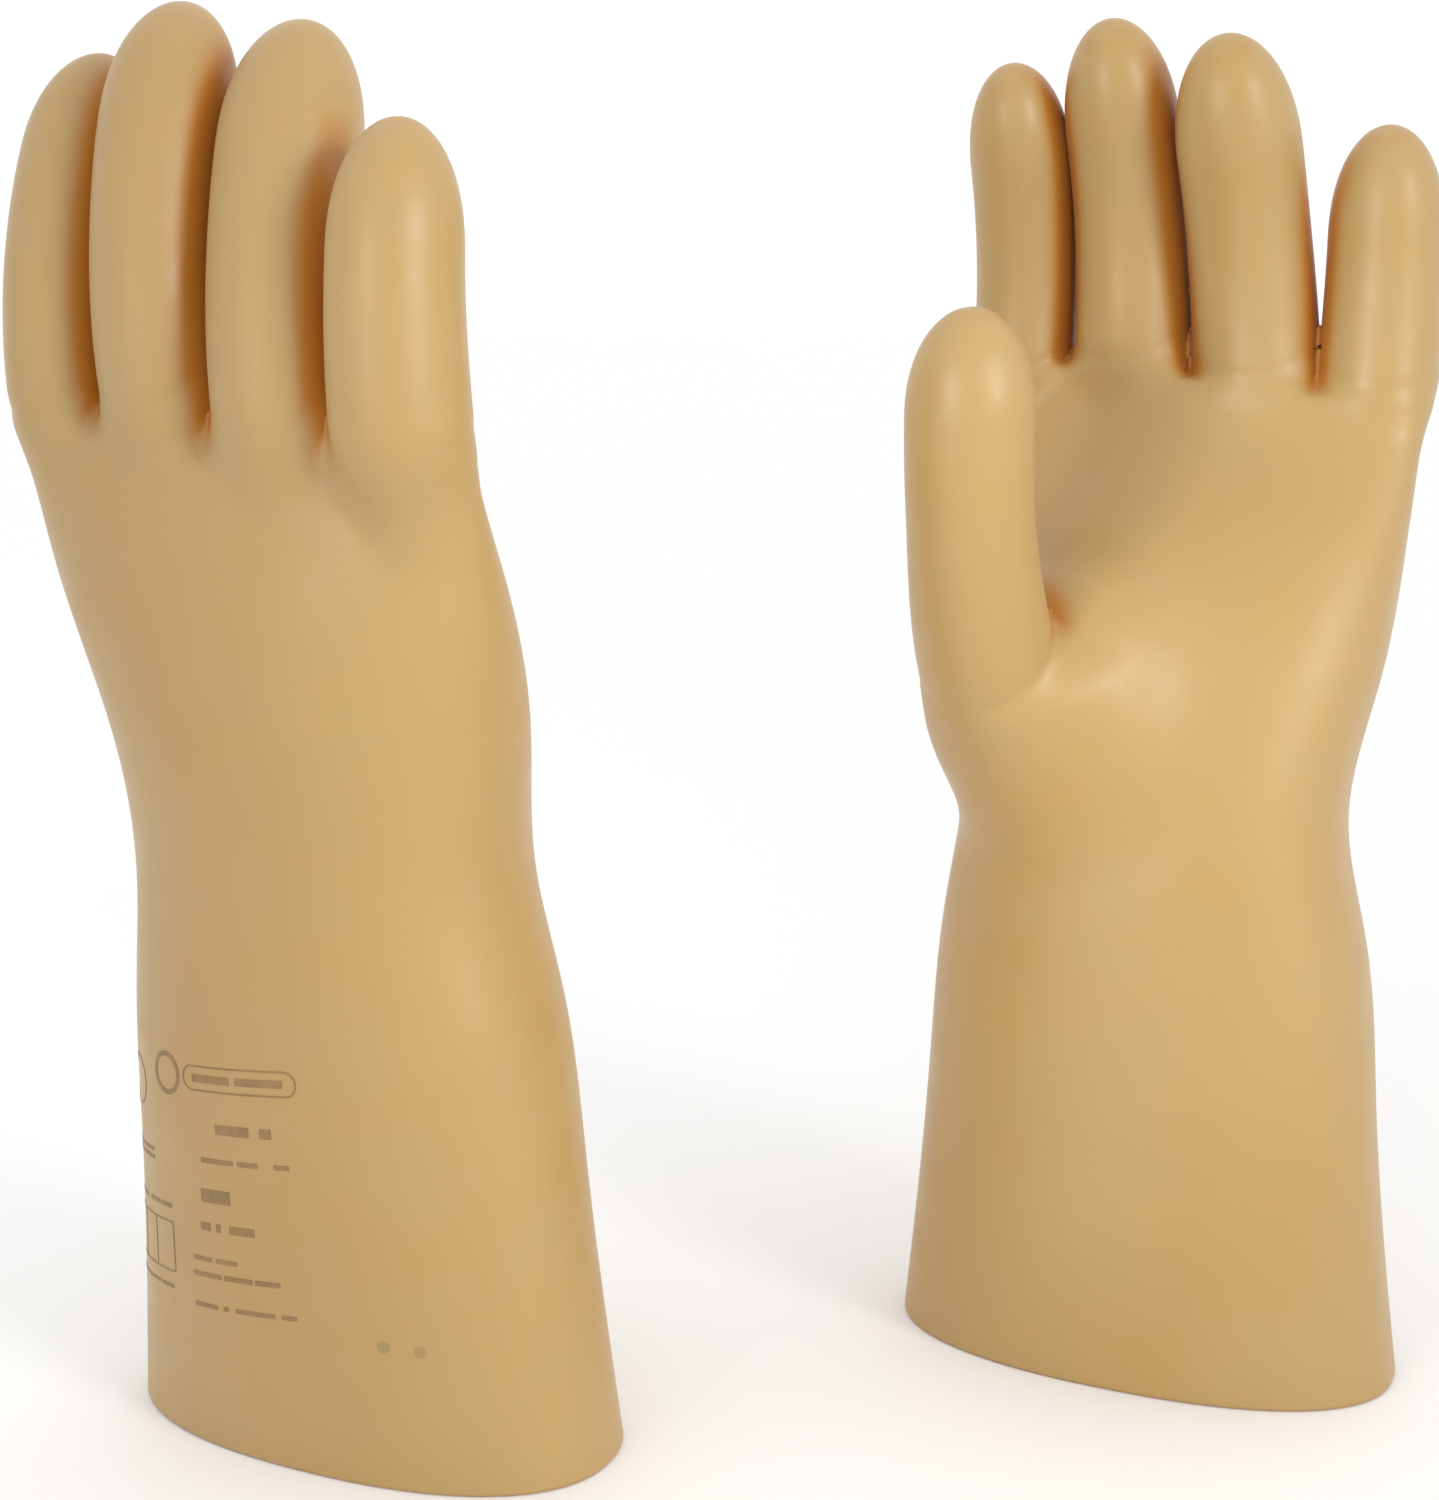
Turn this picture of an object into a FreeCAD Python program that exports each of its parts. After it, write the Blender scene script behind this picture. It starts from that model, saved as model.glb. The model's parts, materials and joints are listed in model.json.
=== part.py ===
import FreeCAD, Part
import Sketcher
import math
import os

# A pair of class 3 electrical insulating gloves, 360 mm long, standing on their cuff rims.
#
# Millimetres, +Z up from the rims to the fingertips, +X from the thumb side to the little finger.
# The right-hand glove stands at -X, -Y with its palm towards +Y. The left-hand glove is its mirror
# image in Y and stands at +X, +Y with its palm towards -Y. The origin is on the standing surface,
# midway between the two.
#
# Each glove is one dipped skin. It is divided where it bends: a gauntlet, a hand with five open
# roots, and a lower and an upper stall for the thumb and each finger. Every part is a hollow shell
# of the same wall. At each bend the nearer part ends inside a ball centred on the hinge, and the
# further part starts outside it, so the two never meet while the hinge turns.

doc = FreeCAD.newDocument("insulating_gloves")

# ---------------------------------------------------------------------------------------------
# Driving dimensions
# ---------------------------------------------------------------------------------------------

SIZES = {
    "wall": 2.9,            # class 3 dipped latex
    "seam_gap": 0.3,        # clearance between the parts at a bend
    "pair_spread_x": 173,   # from one glove's axis to the other's
    "pair_spread_y": 125,
    "rim_level": 0,
    "cuff_level": 75,
    "wrist_level": 152,
    "heel_level": 190,
    "palm_level": 230,
    "knuckle_level": 270,
    "wrist_ball_factor": 1.08,  # the ball at the wrist bend over the wrist's own half sizes
    "root_bend": 50,        # how far a finger turns at its root, degrees
    "tip_bend": 45,         # how far its upper stall turns, degrees
}

# Oval sections of the trunk: half width, half depth, and how far the centre stands towards the
# little finger and towards the palm.
TRUNK = {
    "rim": (69.5, 36.0, 0.0, 0.0),
    "cuff": (61.5, 38.0, -1.0, -1.5),
    "wrist": (51.5, 39.0, -2.5, -5.0),
    "heel": (54.5, 37.0, 1.0, -13.5),
    "palm": (60.5, 27.5, -1.0, -25.5),
    "knuckle": (62.0, 17.5, -2.5, -33.5),
}
TRUNK_FIELDS = ("half_width", "half_depth", "offset_x", "offset_y")

# Digits: outer radius and the place of the root hinge.
DIGITS = {
    "thumb": (15.8, -35.3, 50.4, 214.0),
    "index": (13.9, -50.6, -35.6, 287.0),
    "middle": (14.6, -21.4, -37.4, 289.0),
    "ring": (15.2, 12.2, -37.5, 285.0),
    "little": (14.4, 45.0, -42.0, 281.0),
}
DIGIT_FIELDS = ("radius", "root_x", "root_y", "root_z")

# Roots: depth below the hinge, radius where they start inside the hand, sideways lean towards the
# little finger and lean towards the palm (degrees).
ROOTS = {
    "thumb": (56.0, 19.5, -6.0, 45.0),
    "index": (43.0, 11.0, 1.0, -4.0),
    "middle": (41.0, 11.5, 0.0, -4.0),
    "ring": (41.0, 12.0, -1.0, -4.0),
    "little": (45.0, 10.0, 4.0, -6.0),
}
ROOT_FIELDS = ("root_depth", "root_start_radius", "root_sideways", "root_lean")

# Stalls: sideways lean, lean of the lower and of the upper stall towards the palm (degrees),
# distance from hinge to hinge and from hinge to tip, length of the rounded tip, and its end radius.
STALLS = {
    "thumb": (2.0, 19.4, 2.4, 38.2, 38.0, 24.0, 10.0),
    "index": (0.0, 11.1, 27.9, 29.6, 35.8, 22.8, 8.0),
    "middle": (0.0, 8.8, 27.2, 34.4, 40.5, 26.0, 8.5),
    "ring": (-3.5, 12.8, 28.4, 34.5, 39.0, 25.0, 9.0),
    "little": (1.4, 2.0, 10.5, 22.0, 30.2, 18.0, 10.0),
}
STALL_FIELDS = ("stall_sideways", "lower_lean", "upper_lean", "lower_length", "upper_length",
                "tip_length", "tip_radius")

sheet = doc.addObject("Spreadsheet::Sheet", "sizes")


def fill_sheet():
    """Write every driving dimension to its own row of the sheet, under its own alias."""
    rows = dict(SIZES)
    tables = ((TRUNK, TRUNK_FIELDS), (DIGITS, DIGIT_FIELDS), (ROOTS, ROOT_FIELDS),
              (STALLS, STALL_FIELDS))
    for table, fields in tables:
        for name, numbers in table.items():
            for field, number in zip(fields, numbers):
                rows[name + "_" + field] = number
    for row, (alias, number) in enumerate(rows.items(), start=1):
        sheet.set("A%d" % row, alias)
        sheet.set("B%d" % row, str(number))
        sheet.setAlias("B%d" % row, alias)
    doc.recompute()


def size(alias):
    """A dimension read back from the sheet."""
    return float(getattr(sheet, alias))


# ---------------------------------------------------------------------------------------------
# Shared helpers
# ---------------------------------------------------------------------------------------------

def new_body(label):
    """An empty body whose name and label are the sub-part's name."""
    body = doc.addObject("PartDesign::Body", label)
    body.Label = label
    return body


def origin_plane(body, role):
    """One of the body's own origin planes."""
    return next(plane for plane in body.Origin.OriginFeatures if plane.Role == role)


def new_sketch(body, name, role):
    """A sketch lying on one of the body's origin planes."""
    sketch = body.newObject("Sketcher::SketchObject", name)
    sketch.AttachmentSupport = [(origin_plane(body, role), "")]
    sketch.MapMode = "FlatFace"
    return sketch


def dimension(sketch, name, expression, *constraint):
    """A named sketch dimension that follows the sheet."""
    number = sketch.addConstraint(Sketcher.Constraint(*constraint))
    sketch.renameConstraint(number, name)
    sketch.setExpression("Constraints." + name, expression)


def oval_sketch(body, name, station, side, level, inset):
    """A trunk section: the station's oval at a level, made smaller all round by the inset."""
    sketch = new_sketch(body, name, "XY_Plane")
    inset_size = size("wall") if inset else 0.0
    half_width = size(station + "_half_width") - inset_size
    half_depth = size(station + "_half_depth") - inset_size
    centre = FreeCAD.Vector(0, 0, 0)
    oval = sketch.addGeometry(
        Part.Ellipse(FreeCAD.Vector(half_width, 0, 0), FreeCAD.Vector(0, half_depth, 0), centre))
    sketch.exposeInternalGeometry(oval)
    width_line = oval + 1
    depth_line = oval + 2
    shrink = " - sizes.wall" if inset else ""
    sketch.addConstraint(Sketcher.Constraint("Coincident", oval, 3, -1, 1))
    sketch.addConstraint(Sketcher.Constraint("Horizontal", width_line))
    dimension(sketch, "width", "2 * (sizes.%s_half_width%s) * 1mm" % (station, shrink),
              "Distance", width_line, 2 * half_width)
    dimension(sketch, "depth", "2 * (sizes.%s_half_depth%s) * 1mm" % (station, shrink),
              "Distance", depth_line, 2 * half_depth)
    sketch.setExpression("AttachmentOffset.Base.x", "sizes.%s_offset_x * 1mm" % station)
    sketch.setExpression("AttachmentOffset.Base.y",
                         "%d * sizes.%s_offset_y * 1mm" % (side, station))
    sketch.setExpression("AttachmentOffset.Base.z", "(%s) * 1mm" % level)
    return sketch


def loft(body, kind, name, sections):
    """A smooth skin through the sections, added to the body or cut out of it."""
    feature = body.newObject("PartDesign::" + kind, name)
    feature.Profile = sections[0]
    feature.Sections = sections[1:]
    doc.recompute()
    return feature


def lean_direction(side, sideways, lean):
    """The direction of an axis that leans sideways and towards the palm, in degrees."""
    across = math.radians(sideways)
    forward = math.radians(lean)
    return FreeCAD.Vector(math.sin(across) * math.cos(forward),
                          side * math.sin(forward),
                          math.cos(across) * math.cos(forward))


def along(point, direction):
    """A placement at the point whose own Z axis lies along the direction."""
    return FreeCAD.Placement(point, FreeCAD.Rotation(FreeCAD.Vector(0, 0, 1), direction))


def glove_origin(side):
    """The middle of a glove's cuff rim: side is 1 for the right-hand glove, -1 for the left."""
    return FreeCAD.Vector(-side * size("pair_spread_x") / 2, -side * size("pair_spread_y") / 2, 0)


# ---------------------------------------------------------------------------------------------
# The bends of a digit
# ---------------------------------------------------------------------------------------------

def axis_direction(digit, side, stretch):
    """The direction of a digit's root, lower or upper stretch."""
    sideways = size(digit + ("_root_sideways" if stretch == "root" else "_stall_sideways"))
    return lean_direction(side, sideways, size("%s_%s_lean" % (digit, stretch)))


def root_hinge(digit, side):
    """The root hinge's centre, counted from the glove's own origin."""
    return FreeCAD.Vector(size(digit + "_root_x"), side * size(digit + "_root_y"),
                          size(digit + "_root_z"))


def tip_hinge(digit, side):
    """The upper stall's hinge centre."""
    reach = size(digit + "_lower_length")
    return root_hinge(digit, side) + axis_direction(digit, side, "lower") * reach


def bend_angle(digit, near, far, bend):
    """The sharpest angle between two stretches of a digit, its lean at rest and its bend."""
    rest = math.degrees(axis_direction(digit, 1, near).getAngle(axis_direction(digit, 1, far)))
    spare = 4.0
    return rest + size(bend) + spare


def ball_radius(digit, near, far, bend):
    """The ball that parts two stretches: the walls outside it stay clear at the full bend."""
    return size(digit + "_radius") / math.cos(math.radians(bend_angle(digit, near, far, bend) / 2))


def inside_reach(digit, near, far, bend):
    """How far past the hinge the nearer stretch may go and still be inside the ball."""
    ball = ball_radius(digit, near, far, bend) - size("seam_gap")
    return math.sqrt(ball ** 2 - size(digit + "_radius") ** 2)


# ---------------------------------------------------------------------------------------------
# Sub-parts
# ---------------------------------------------------------------------------------------------

def wrist_reach():
    """How far above the wrist hinge the gauntlet ends, just inside the wrist ball."""
    factor = size("wrist_ball_factor")
    return size("wrist_half_depth") * math.sqrt(factor ** 2 - 1) - 2 * size("seam_gap")


def gauntlet(hand_name, side):
    """The flared cuff, open at the rim and at the wrist."""
    body = new_body(hand_name + "_gauntlet")
    top = "sizes.wrist_level + %.4f" % wrist_reach()
    levels = (("rim", "sizes.rim_level"), ("cuff", "sizes.cuff_level"),
              ("wrist", "sizes.wrist_level"), ("wrist", top))
    for kind, inset in (("AdditiveLoft", False), ("SubtractiveLoft", True)):
        skin = "inner" if inset else "outer"
        sections = [oval_sketch(body, "%s_%s_%s_%d" % (hand_name, skin, station, number),
                                station, side, level, inset)
                    for number, (station, level) in enumerate(levels)]
        doc.recompute()
        loft(body, kind, "%s_gauntlet_%s" % (hand_name, skin), sections)
    body.Placement.Base = glove_origin(side)
    return body


def root_cone(body, name, kind, digit, side, inset):
    """A digit's root: a cone from inside the hand to just past the root hinge."""
    depth = size(digit + "_root_depth")
    direction = axis_direction(digit, side, "root")
    reach = inside_reach(digit, "root", "lower", "root_bend")
    shrink = " - sizes.wall" if inset else ""
    cone = body.newObject("PartDesign::" + kind, name)
    cone.Radius1 = size(digit + "_root_start_radius")
    cone.Radius2 = size(digit + "_radius")
    cone.Height = depth + reach
    cone.setExpression("Radius1", "(sizes.%s_root_start_radius%s) * 1mm" % (digit, shrink))
    cone.setExpression("Radius2", "(sizes.%s_radius%s) * 1mm" % (digit, shrink))
    cone.setExpression("Height", "(sizes.%s_root_depth + %.4f) * 1mm" % (digit, reach))
    cone.Placement = along(root_hinge(digit, side) - direction * depth, direction)
    doc.recompute()
    return cone


def hand(hand_name, side):
    """The palm and back with five open roots, hollow down to the wrist."""
    body = new_body(hand_name + "_hand")
    levels = (("wrist", "sizes.wrist_level"), ("heel", "sizes.heel_level"),
              ("palm", "sizes.palm_level"), ("knuckle", "sizes.knuckle_level"))
    for kind, cone_kind, inset in (("AdditiveLoft", "AdditiveCone", False),
                                   ("SubtractiveLoft", "SubtractiveCone", True)):
        skin = "inner" if inset else "outer"
        sections = []
        for station, level in levels:
            if inset and station == "knuckle":
                level += " - sizes.wall"
            sections.append(oval_sketch(body, "%s_hand_%s_%s" % (hand_name, skin, station),
                                        station, side, level, inset))
        doc.recompute()
        loft(body, kind, "%s_hand_%s" % (hand_name, skin), sections)
        for digit in DIGITS:
            root_cone(body, "%s_%s_root_%s" % (hand_name, digit, skin), cone_kind, digit, side,
                      inset)
    wrist_ball(body, hand_name, side)
    body.Placement.Base = glove_origin(side)
    return body


def wrist_ball(body, hand_name, side):
    """The hollow at the bottom of the hand: an oval ball turned about the wrist hinge's axis."""
    factor = size("wrist_ball_factor")
    half_width = size("wrist_half_width") * factor
    half_depth = size("wrist_half_depth") * factor
    sketch = new_sketch(body, hand_name + "_wrist_ball_profile", "XZ_Plane")
    left = FreeCAD.Vector(-half_width, 0, 0)
    right = FreeCAD.Vector(half_width, 0, 0)
    oval = Part.Ellipse(right, FreeCAD.Vector(0, half_depth, 0), FreeCAD.Vector(0, 0, 0))
    arc, axis = sketch.addGeometry([Part.ArcOfEllipse(oval, math.pi, 2 * math.pi),
                                    Part.LineSegment(left, right)])
    sketch.exposeInternalGeometry(arc)
    width_line = axis + 1
    depth_line = axis + 2
    for pair in ((arc, 3, -1, 1), (arc, 1, axis, 1), (arc, 2, axis, 2)):
        sketch.addConstraint(Sketcher.Constraint("Coincident", *pair))
    sketch.addConstraint(Sketcher.Constraint("Horizontal", axis))
    dimension(sketch, "width", "2 * sizes.wrist_half_width * sizes.wrist_ball_factor * 1mm",
              "Distance", width_line, 2 * half_width)
    dimension(sketch, "depth", "2 * sizes.wrist_half_depth * sizes.wrist_ball_factor * 1mm",
              "Distance", depth_line, 2 * half_depth)
    sketch.setExpression("AttachmentOffset.Base.x", "sizes.wrist_offset_x * 1mm")
    sketch.setExpression("AttachmentOffset.Base.y", "sizes.wrist_level * 1mm")
    sketch.setExpression("AttachmentOffset.Base.z", "%d * sizes.wrist_offset_y * 1mm" % -side)
    doc.recompute()
    ball = body.newObject("PartDesign::Groove", hand_name + "_wrist_ball")
    ball.Profile = sketch
    ball.ReferenceAxis = (sketch, ["H_Axis"])
    ball.Angle = 360
    doc.recompute()


def lower_stall(hand_name, digit, side):
    """An open tube from the root hinge to the upper stall's hinge, turned about its own axis."""
    body = new_body("%s_%s_lower_stall" % (hand_name, digit))
    radius = size(digit + "_radius")
    bore = radius - size("wall")
    ball = ball_radius(digit, "root", "lower", "root_bend")
    top = size(digit + "_lower_length") + inside_reach(digit, "lower", "upper", "tip_bend")
    rim_angles = (math.acos(radius / ball), math.acos(bore / ball))
    outer_start = ball * math.sin(rim_angles[0])
    inner_start = ball * math.sin(rim_angles[1])

    sketch = new_sketch(body, body.Name + "_profile", "XZ_Plane")
    rim, outer, end, inner = sketch.addGeometry([
        Part.ArcOfCircle(Part.Circle(FreeCAD.Vector(), FreeCAD.Vector(0, 0, 1), ball), *rim_angles),
        Part.LineSegment(FreeCAD.Vector(radius, outer_start, 0), FreeCAD.Vector(radius, top, 0)),
        Part.LineSegment(FreeCAD.Vector(radius, top, 0), FreeCAD.Vector(bore, top, 0)),
        Part.LineSegment(FreeCAD.Vector(bore, top, 0), FreeCAD.Vector(bore, inner_start, 0))])
    for pair in ((rim, 3, -1, 1), (rim, 1, outer, 1), (outer, 2, end, 1), (end, 2, inner, 1),
                 (inner, 2, rim, 2)):
        sketch.addConstraint(Sketcher.Constraint("Coincident", *pair))
    sketch.addConstraint(Sketcher.Constraint("Vertical", outer))
    sketch.addConstraint(Sketcher.Constraint("Vertical", inner))
    sketch.addConstraint(Sketcher.Constraint("Horizontal", end))
    shape_dimensions(sketch, digit, rim, outer, inner, ball)
    dimension(sketch, "length", "%.4f mm" % top, "DistanceY", -1, 1, outer, 2, top)
    turn_profile(body, sketch)
    body.Placement = along(glove_origin(side) + root_hinge(digit, side),
                           axis_direction(digit, side, "lower"))
    return body


def upper_stall(hand_name, digit, side):
    """The closed end of a digit: a tube with a round tip, turned about its own axis."""
    body = new_body("%s_%s_upper_stall" % (hand_name, digit))
    wall = size("wall")
    radius = size(digit + "_radius")
    bore = radius - wall
    ball = ball_radius(digit, "lower", "upper", "tip_bend")
    length = size(digit + "_upper_length")
    shoulder = length - size(digit + "_tip_length")
    tip_radius = size(digit + "_tip_radius")
    tip_centre = length - tip_radius
    # The side arc meets the straight wall at the shoulder and the tip arc without a kink.
    side_radius = (((tip_centre - shoulder) ** 2 + radius ** 2 - tip_radius ** 2)
                   / (2 * (radius - tip_radius)))
    side_centre = FreeCAD.Vector(radius - side_radius, shoulder, 0)
    meet = math.atan2(tip_centre - shoulder, side_radius - radius)
    quarter = math.pi / 2
    rim_angles = (math.acos(radius / ball), math.acos(bore / ball))
    outer_start = ball * math.sin(rim_angles[0])
    inner_start = ball * math.sin(rim_angles[1])
    if shoulder <= inner_start:
        raise ValueError("%s: the rounded tip is too long to leave a straight bore" % body.Name)
    up = FreeCAD.Vector(0, 0, 1)
    tip = FreeCAD.Vector(0, tip_centre, 0)

    sketch = new_sketch(body, body.Name + "_profile", "XZ_Plane")
    rim, outer, outer_side, outer_tip, end, inner_tip, inner_side, inner = sketch.addGeometry([
        Part.ArcOfCircle(Part.Circle(FreeCAD.Vector(), up, ball), *rim_angles),
        Part.LineSegment(FreeCAD.Vector(radius, outer_start, 0),
                         FreeCAD.Vector(radius, shoulder, 0)),
        Part.ArcOfCircle(Part.Circle(side_centre, up, side_radius), 0, meet),
        Part.ArcOfCircle(Part.Circle(tip, up, tip_radius), meet, quarter),
        Part.LineSegment(FreeCAD.Vector(0, length, 0), FreeCAD.Vector(0, length - wall, 0)),
        Part.ArcOfCircle(Part.Circle(tip, up, tip_radius - wall), meet, quarter),
        Part.ArcOfCircle(Part.Circle(side_centre, up, side_radius - wall), 0, meet),
        Part.LineSegment(FreeCAD.Vector(bore, shoulder, 0),
                         FreeCAD.Vector(bore, inner_start, 0))])
    for pair in ((rim, 3, -1, 1), (rim, 1, outer, 1), (outer_tip, 2, end, 1), (end, 2, inner_tip, 2),
                 (inner, 2, rim, 2), (outer_side, 3, inner_side, 3), (outer_tip, 3, inner_tip, 3)):
        sketch.addConstraint(Sketcher.Constraint("Coincident", *pair))
    for pair in ((outer, 2, outer_side, 1), (outer_side, 2, outer_tip, 1),
                 (inner_tip, 1, inner_side, 2), (inner_side, 1, inner, 1)):
        sketch.addConstraint(Sketcher.Constraint("Tangent", *pair))
    for line in (outer, inner, end):
        sketch.addConstraint(Sketcher.Constraint("Vertical", line))
    sketch.addConstraint(Sketcher.Constraint("PointOnObject", end, 1, -2))
    sketch.addConstraint(Sketcher.Constraint("PointOnObject", outer_tip, 3, -2))
    shape_dimensions(sketch, digit, rim, outer, inner, ball)
    dimension(sketch, "length", "sizes.%s_upper_length * 1mm" % digit,
              "DistanceY", -1, 1, end, 1, length)
    dimension(sketch, "shoulder", "(sizes.%s_upper_length - sizes.%s_tip_length) * 1mm"
              % (digit, digit), "DistanceY", -1, 1, outer, 2, shoulder)
    dimension(sketch, "tip_radius", "sizes.%s_tip_radius * 1mm" % digit,
              "Radius", outer_tip, tip_radius)
    turn_profile(body, sketch)
    body.Placement = along(glove_origin(side) + tip_hinge(digit, side),
                           axis_direction(digit, side, "upper"))
    return body


def shape_dimensions(sketch, digit, rim, outer, inner, ball):
    """The dimensions that both stalls share: the ball at the rim, the radius and the bore."""
    radius = size(digit + "_radius")
    dimension(sketch, "ball", "%.4f mm" % ball, "Radius", rim, ball)
    dimension(sketch, "radius", "sizes.%s_radius * 1mm" % digit,
              "DistanceX", -1, 1, outer, 2, radius)
    dimension(sketch, "bore", "(sizes.%s_radius - sizes.wall) * 1mm" % digit,
              "DistanceX", -1, 1, inner, 1, radius - size("wall"))


def turn_profile(body, sketch):
    """Turn the profile a full circle about the stall's own axis."""
    doc.recompute()
    turned = body.newObject("PartDesign::Revolution", body.Name + "_turned")
    turned.Profile = sketch
    turned.ReferenceAxis = (sketch, ["V_Axis"])
    turned.Angle = 360
    doc.recompute()


# ---------------------------------------------------------------------------------------------
# The pair
# ---------------------------------------------------------------------------------------------

def build_pair():
    """Every sub-part of both gloves."""
    bodies = []
    for hand_name, side in (("right", 1), ("left", -1)):
        bodies.append(gauntlet(hand_name, side))
        bodies.append(hand(hand_name, side))
        for digit in DIGITS:
            bodies.append(lower_stall(hand_name, digit, side))
            bodies.append(upper_stall(hand_name, digit, side))
    doc.recompute()
    return bodies


def check(bodies):
    """Stop before anything is written if a feature failed or a shape isn't one valid solid."""
    for item in doc.Objects:
        if "Invalid" in item.State or "Error" in item.State:
            raise RuntimeError("%s did not build: %s" % (item.Name, item.State))
    for body in bodies:
        shape = body.Shape
        if shape.isNull() or not shape.isValid() or len(shape.Solids) != 1:
            raise RuntimeError("%s is not one valid solid" % body.Label)


def export(bodies):
    """One STEP file for each sub-part, named after its label."""
    os.makedirs("parts", exist_ok=True)
    for body in bodies:
        body.Shape.exportStep("parts/%s.step" % body.Label)


fill_sheet()
parts = build_pair()
check(parts)
export(parts)
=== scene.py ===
import json
import math

import bmesh
import bpy
import numpy as np
from mathutils import Matrix, Vector


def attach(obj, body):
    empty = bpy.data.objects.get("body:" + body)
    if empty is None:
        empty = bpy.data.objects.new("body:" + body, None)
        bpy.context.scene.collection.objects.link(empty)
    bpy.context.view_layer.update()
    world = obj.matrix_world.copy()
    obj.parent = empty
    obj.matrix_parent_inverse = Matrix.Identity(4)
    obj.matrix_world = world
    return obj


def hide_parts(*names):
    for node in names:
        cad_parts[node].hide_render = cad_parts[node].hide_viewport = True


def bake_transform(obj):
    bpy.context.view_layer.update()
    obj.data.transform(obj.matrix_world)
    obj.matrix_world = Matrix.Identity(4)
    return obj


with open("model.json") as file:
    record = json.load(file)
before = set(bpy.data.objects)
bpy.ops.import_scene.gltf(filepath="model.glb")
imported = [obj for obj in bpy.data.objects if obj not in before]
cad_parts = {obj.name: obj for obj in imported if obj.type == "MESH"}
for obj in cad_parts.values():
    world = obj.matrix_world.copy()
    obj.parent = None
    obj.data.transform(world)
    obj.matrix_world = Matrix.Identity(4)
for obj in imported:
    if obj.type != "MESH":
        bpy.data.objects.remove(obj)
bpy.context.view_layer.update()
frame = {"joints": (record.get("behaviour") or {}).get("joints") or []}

# A pair of dipped latex insulating gloves standing on their cuff rims.
#
# One glove's skin is worked out in millimetres in its own frame, as a right-hand glove: the origin
# is the middle of the cuff rim, +X points to the little finger, +Y the way the palm faces and +Z to
# the fingertips. The left-hand glove is the same skin mirrored in Y. The skin is the zero level of
# a distance field: an oval trunk joined smoothly to five curved digits. It is divided into pieces:
# the cuff's and the hand's ride on bodies of the frame, the others stay where they are built.

MM = 0.001
WALL = 2.9                      # thickness of the dipped skin
FINGERS = ("index", "middle", "ring", "little")
DIGITS = ("thumb",) + FINGERS
HANDS = (("right", 1), ("left", -1))
JOINTS = {joint["name"]: joint for joint in frame["joints"]}
WRIST = np.array([-2.5, -5.0, 152.0])   # the wrist hinge in the glove's own frame


def glove_origin(hand, side):
    """The middle of a glove's cuff rim in the frame, in metres."""
    wrist = np.array(JOINTS[hand + "_wrist_flex"]["pos_m"])
    return wrist - WRIST * (1, side, 1) * MM


def hinge(name):
    """A hinge's centre in the right-hand glove's own frame."""
    return (np.array(JOINTS["right_" + name]["pos_m"]) - glove_origin("right", 1)) / MM


# ---------------------------------------------------------------------------------------------
# Small tools for fields
# ---------------------------------------------------------------------------------------------

def ease(value, start, end):
    """0 before start, 1 after end, smooth between."""
    t = np.clip((value - start) / (end - start), 0, 1)
    return t * t * (3 - 2 * t)


def join(a, b, reach):
    """The nearer of two distances, rounded where they differ by less than the reach."""
    reach = np.maximum(reach, 1e-6)
    h = np.maximum(reach - np.abs(a - b), 0) / reach
    return np.minimum(a, b) - h * h * reach / 4


def trim(a, b, reach):
    """The further of two distances, rounded the same way."""
    return -join(-a, -b, reach)


def smooth_curve(knots, values):
    """A natural cubic spline through the values, straight beyond its ends."""
    x = np.array(knots, float)
    y = np.array(values, float)
    count = len(x)
    gap = np.diff(x)
    system = np.eye(count)
    right = np.zeros(count)
    for i in range(1, count - 1):
        system[i, i - 1:i + 2] = gap[i - 1], 2 * (gap[i - 1] + gap[i]), gap[i]
        right[i] = 6 * ((y[i + 1] - y[i]) / gap[i] - (y[i] - y[i - 1]) / gap[i - 1])
    bend = np.linalg.solve(system, right)

    def at(t):
        t = np.asarray(t, float)
        i = np.clip(np.searchsorted(x, t) - 1, 0, count - 2)
        near = t - x[i]
        far = x[i + 1] - t
        span = gap[i]
        inside = ((bend[i] * far ** 3 + bend[i + 1] * near ** 3) / (6 * span)
                  + (y[i] / span - bend[i] * span / 6) * far
                  + (y[i + 1] / span - bend[i + 1] * span / 6) * near)
        first_slope = (y[1] - y[0]) / gap[0] - gap[0] * bend[1] / 6
        last_slope = (y[-1] - y[-2]) / gap[-1] + gap[-1] * bend[-2] / 6
        below = y[0] + first_slope * (t - x[0])
        above = y[-1] + last_slope * (t - x[-1])
        return np.where(t < x[0], below, np.where(t > x[-1], above, inside))
    return at


# ---------------------------------------------------------------------------------------------
# The trunk: cuff, wrist and palm
# ---------------------------------------------------------------------------------------------

# Level above the rim, half width, half depth, and the centre's shift towards the little finger and
# towards the palm.
TRUNK = (
    (0.0, 69.5, 36.0, 0.0, 0.0),
    (75.0, 61.5, 38.0, -1.0, -1.5),
    (120.0, 57.2, 38.7, -1.8, -3.0),
    (152.0, 51.5, 39.0, -2.5, -5.0),
    (190.0, 54.0, 37.0, 0.5, -13.5),
    (230.0, 59.8, 27.0, -1.7, -25.5),
    (250.0, 61.2, 17.4, -2.4, -32.6),
    (262.0, 61.5, 14.5, -2.8, -35.6),
    (270.0, 61.5, 13.4, -2.8, -36.8),
)
TRUNK_TOP = 272.0               # above this the trunk keeps its section
ELLIPSE = 2.0
OVAL_POWER = 2.3                # a little squarer than an ellipse
half_width_at, half_depth_at, shift_x_at, shift_y_at = (
    smooth_curve([row[0] for row in TRUNK], [row[k] for row in TRUNK]) for k in range(1, 5))
CROTCH_LEVEL = 261.2            # where the trunk closes between the fingers, on its middle line
CROTCH_SLOPE = -0.11            # it falls towards the little finger
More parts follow.
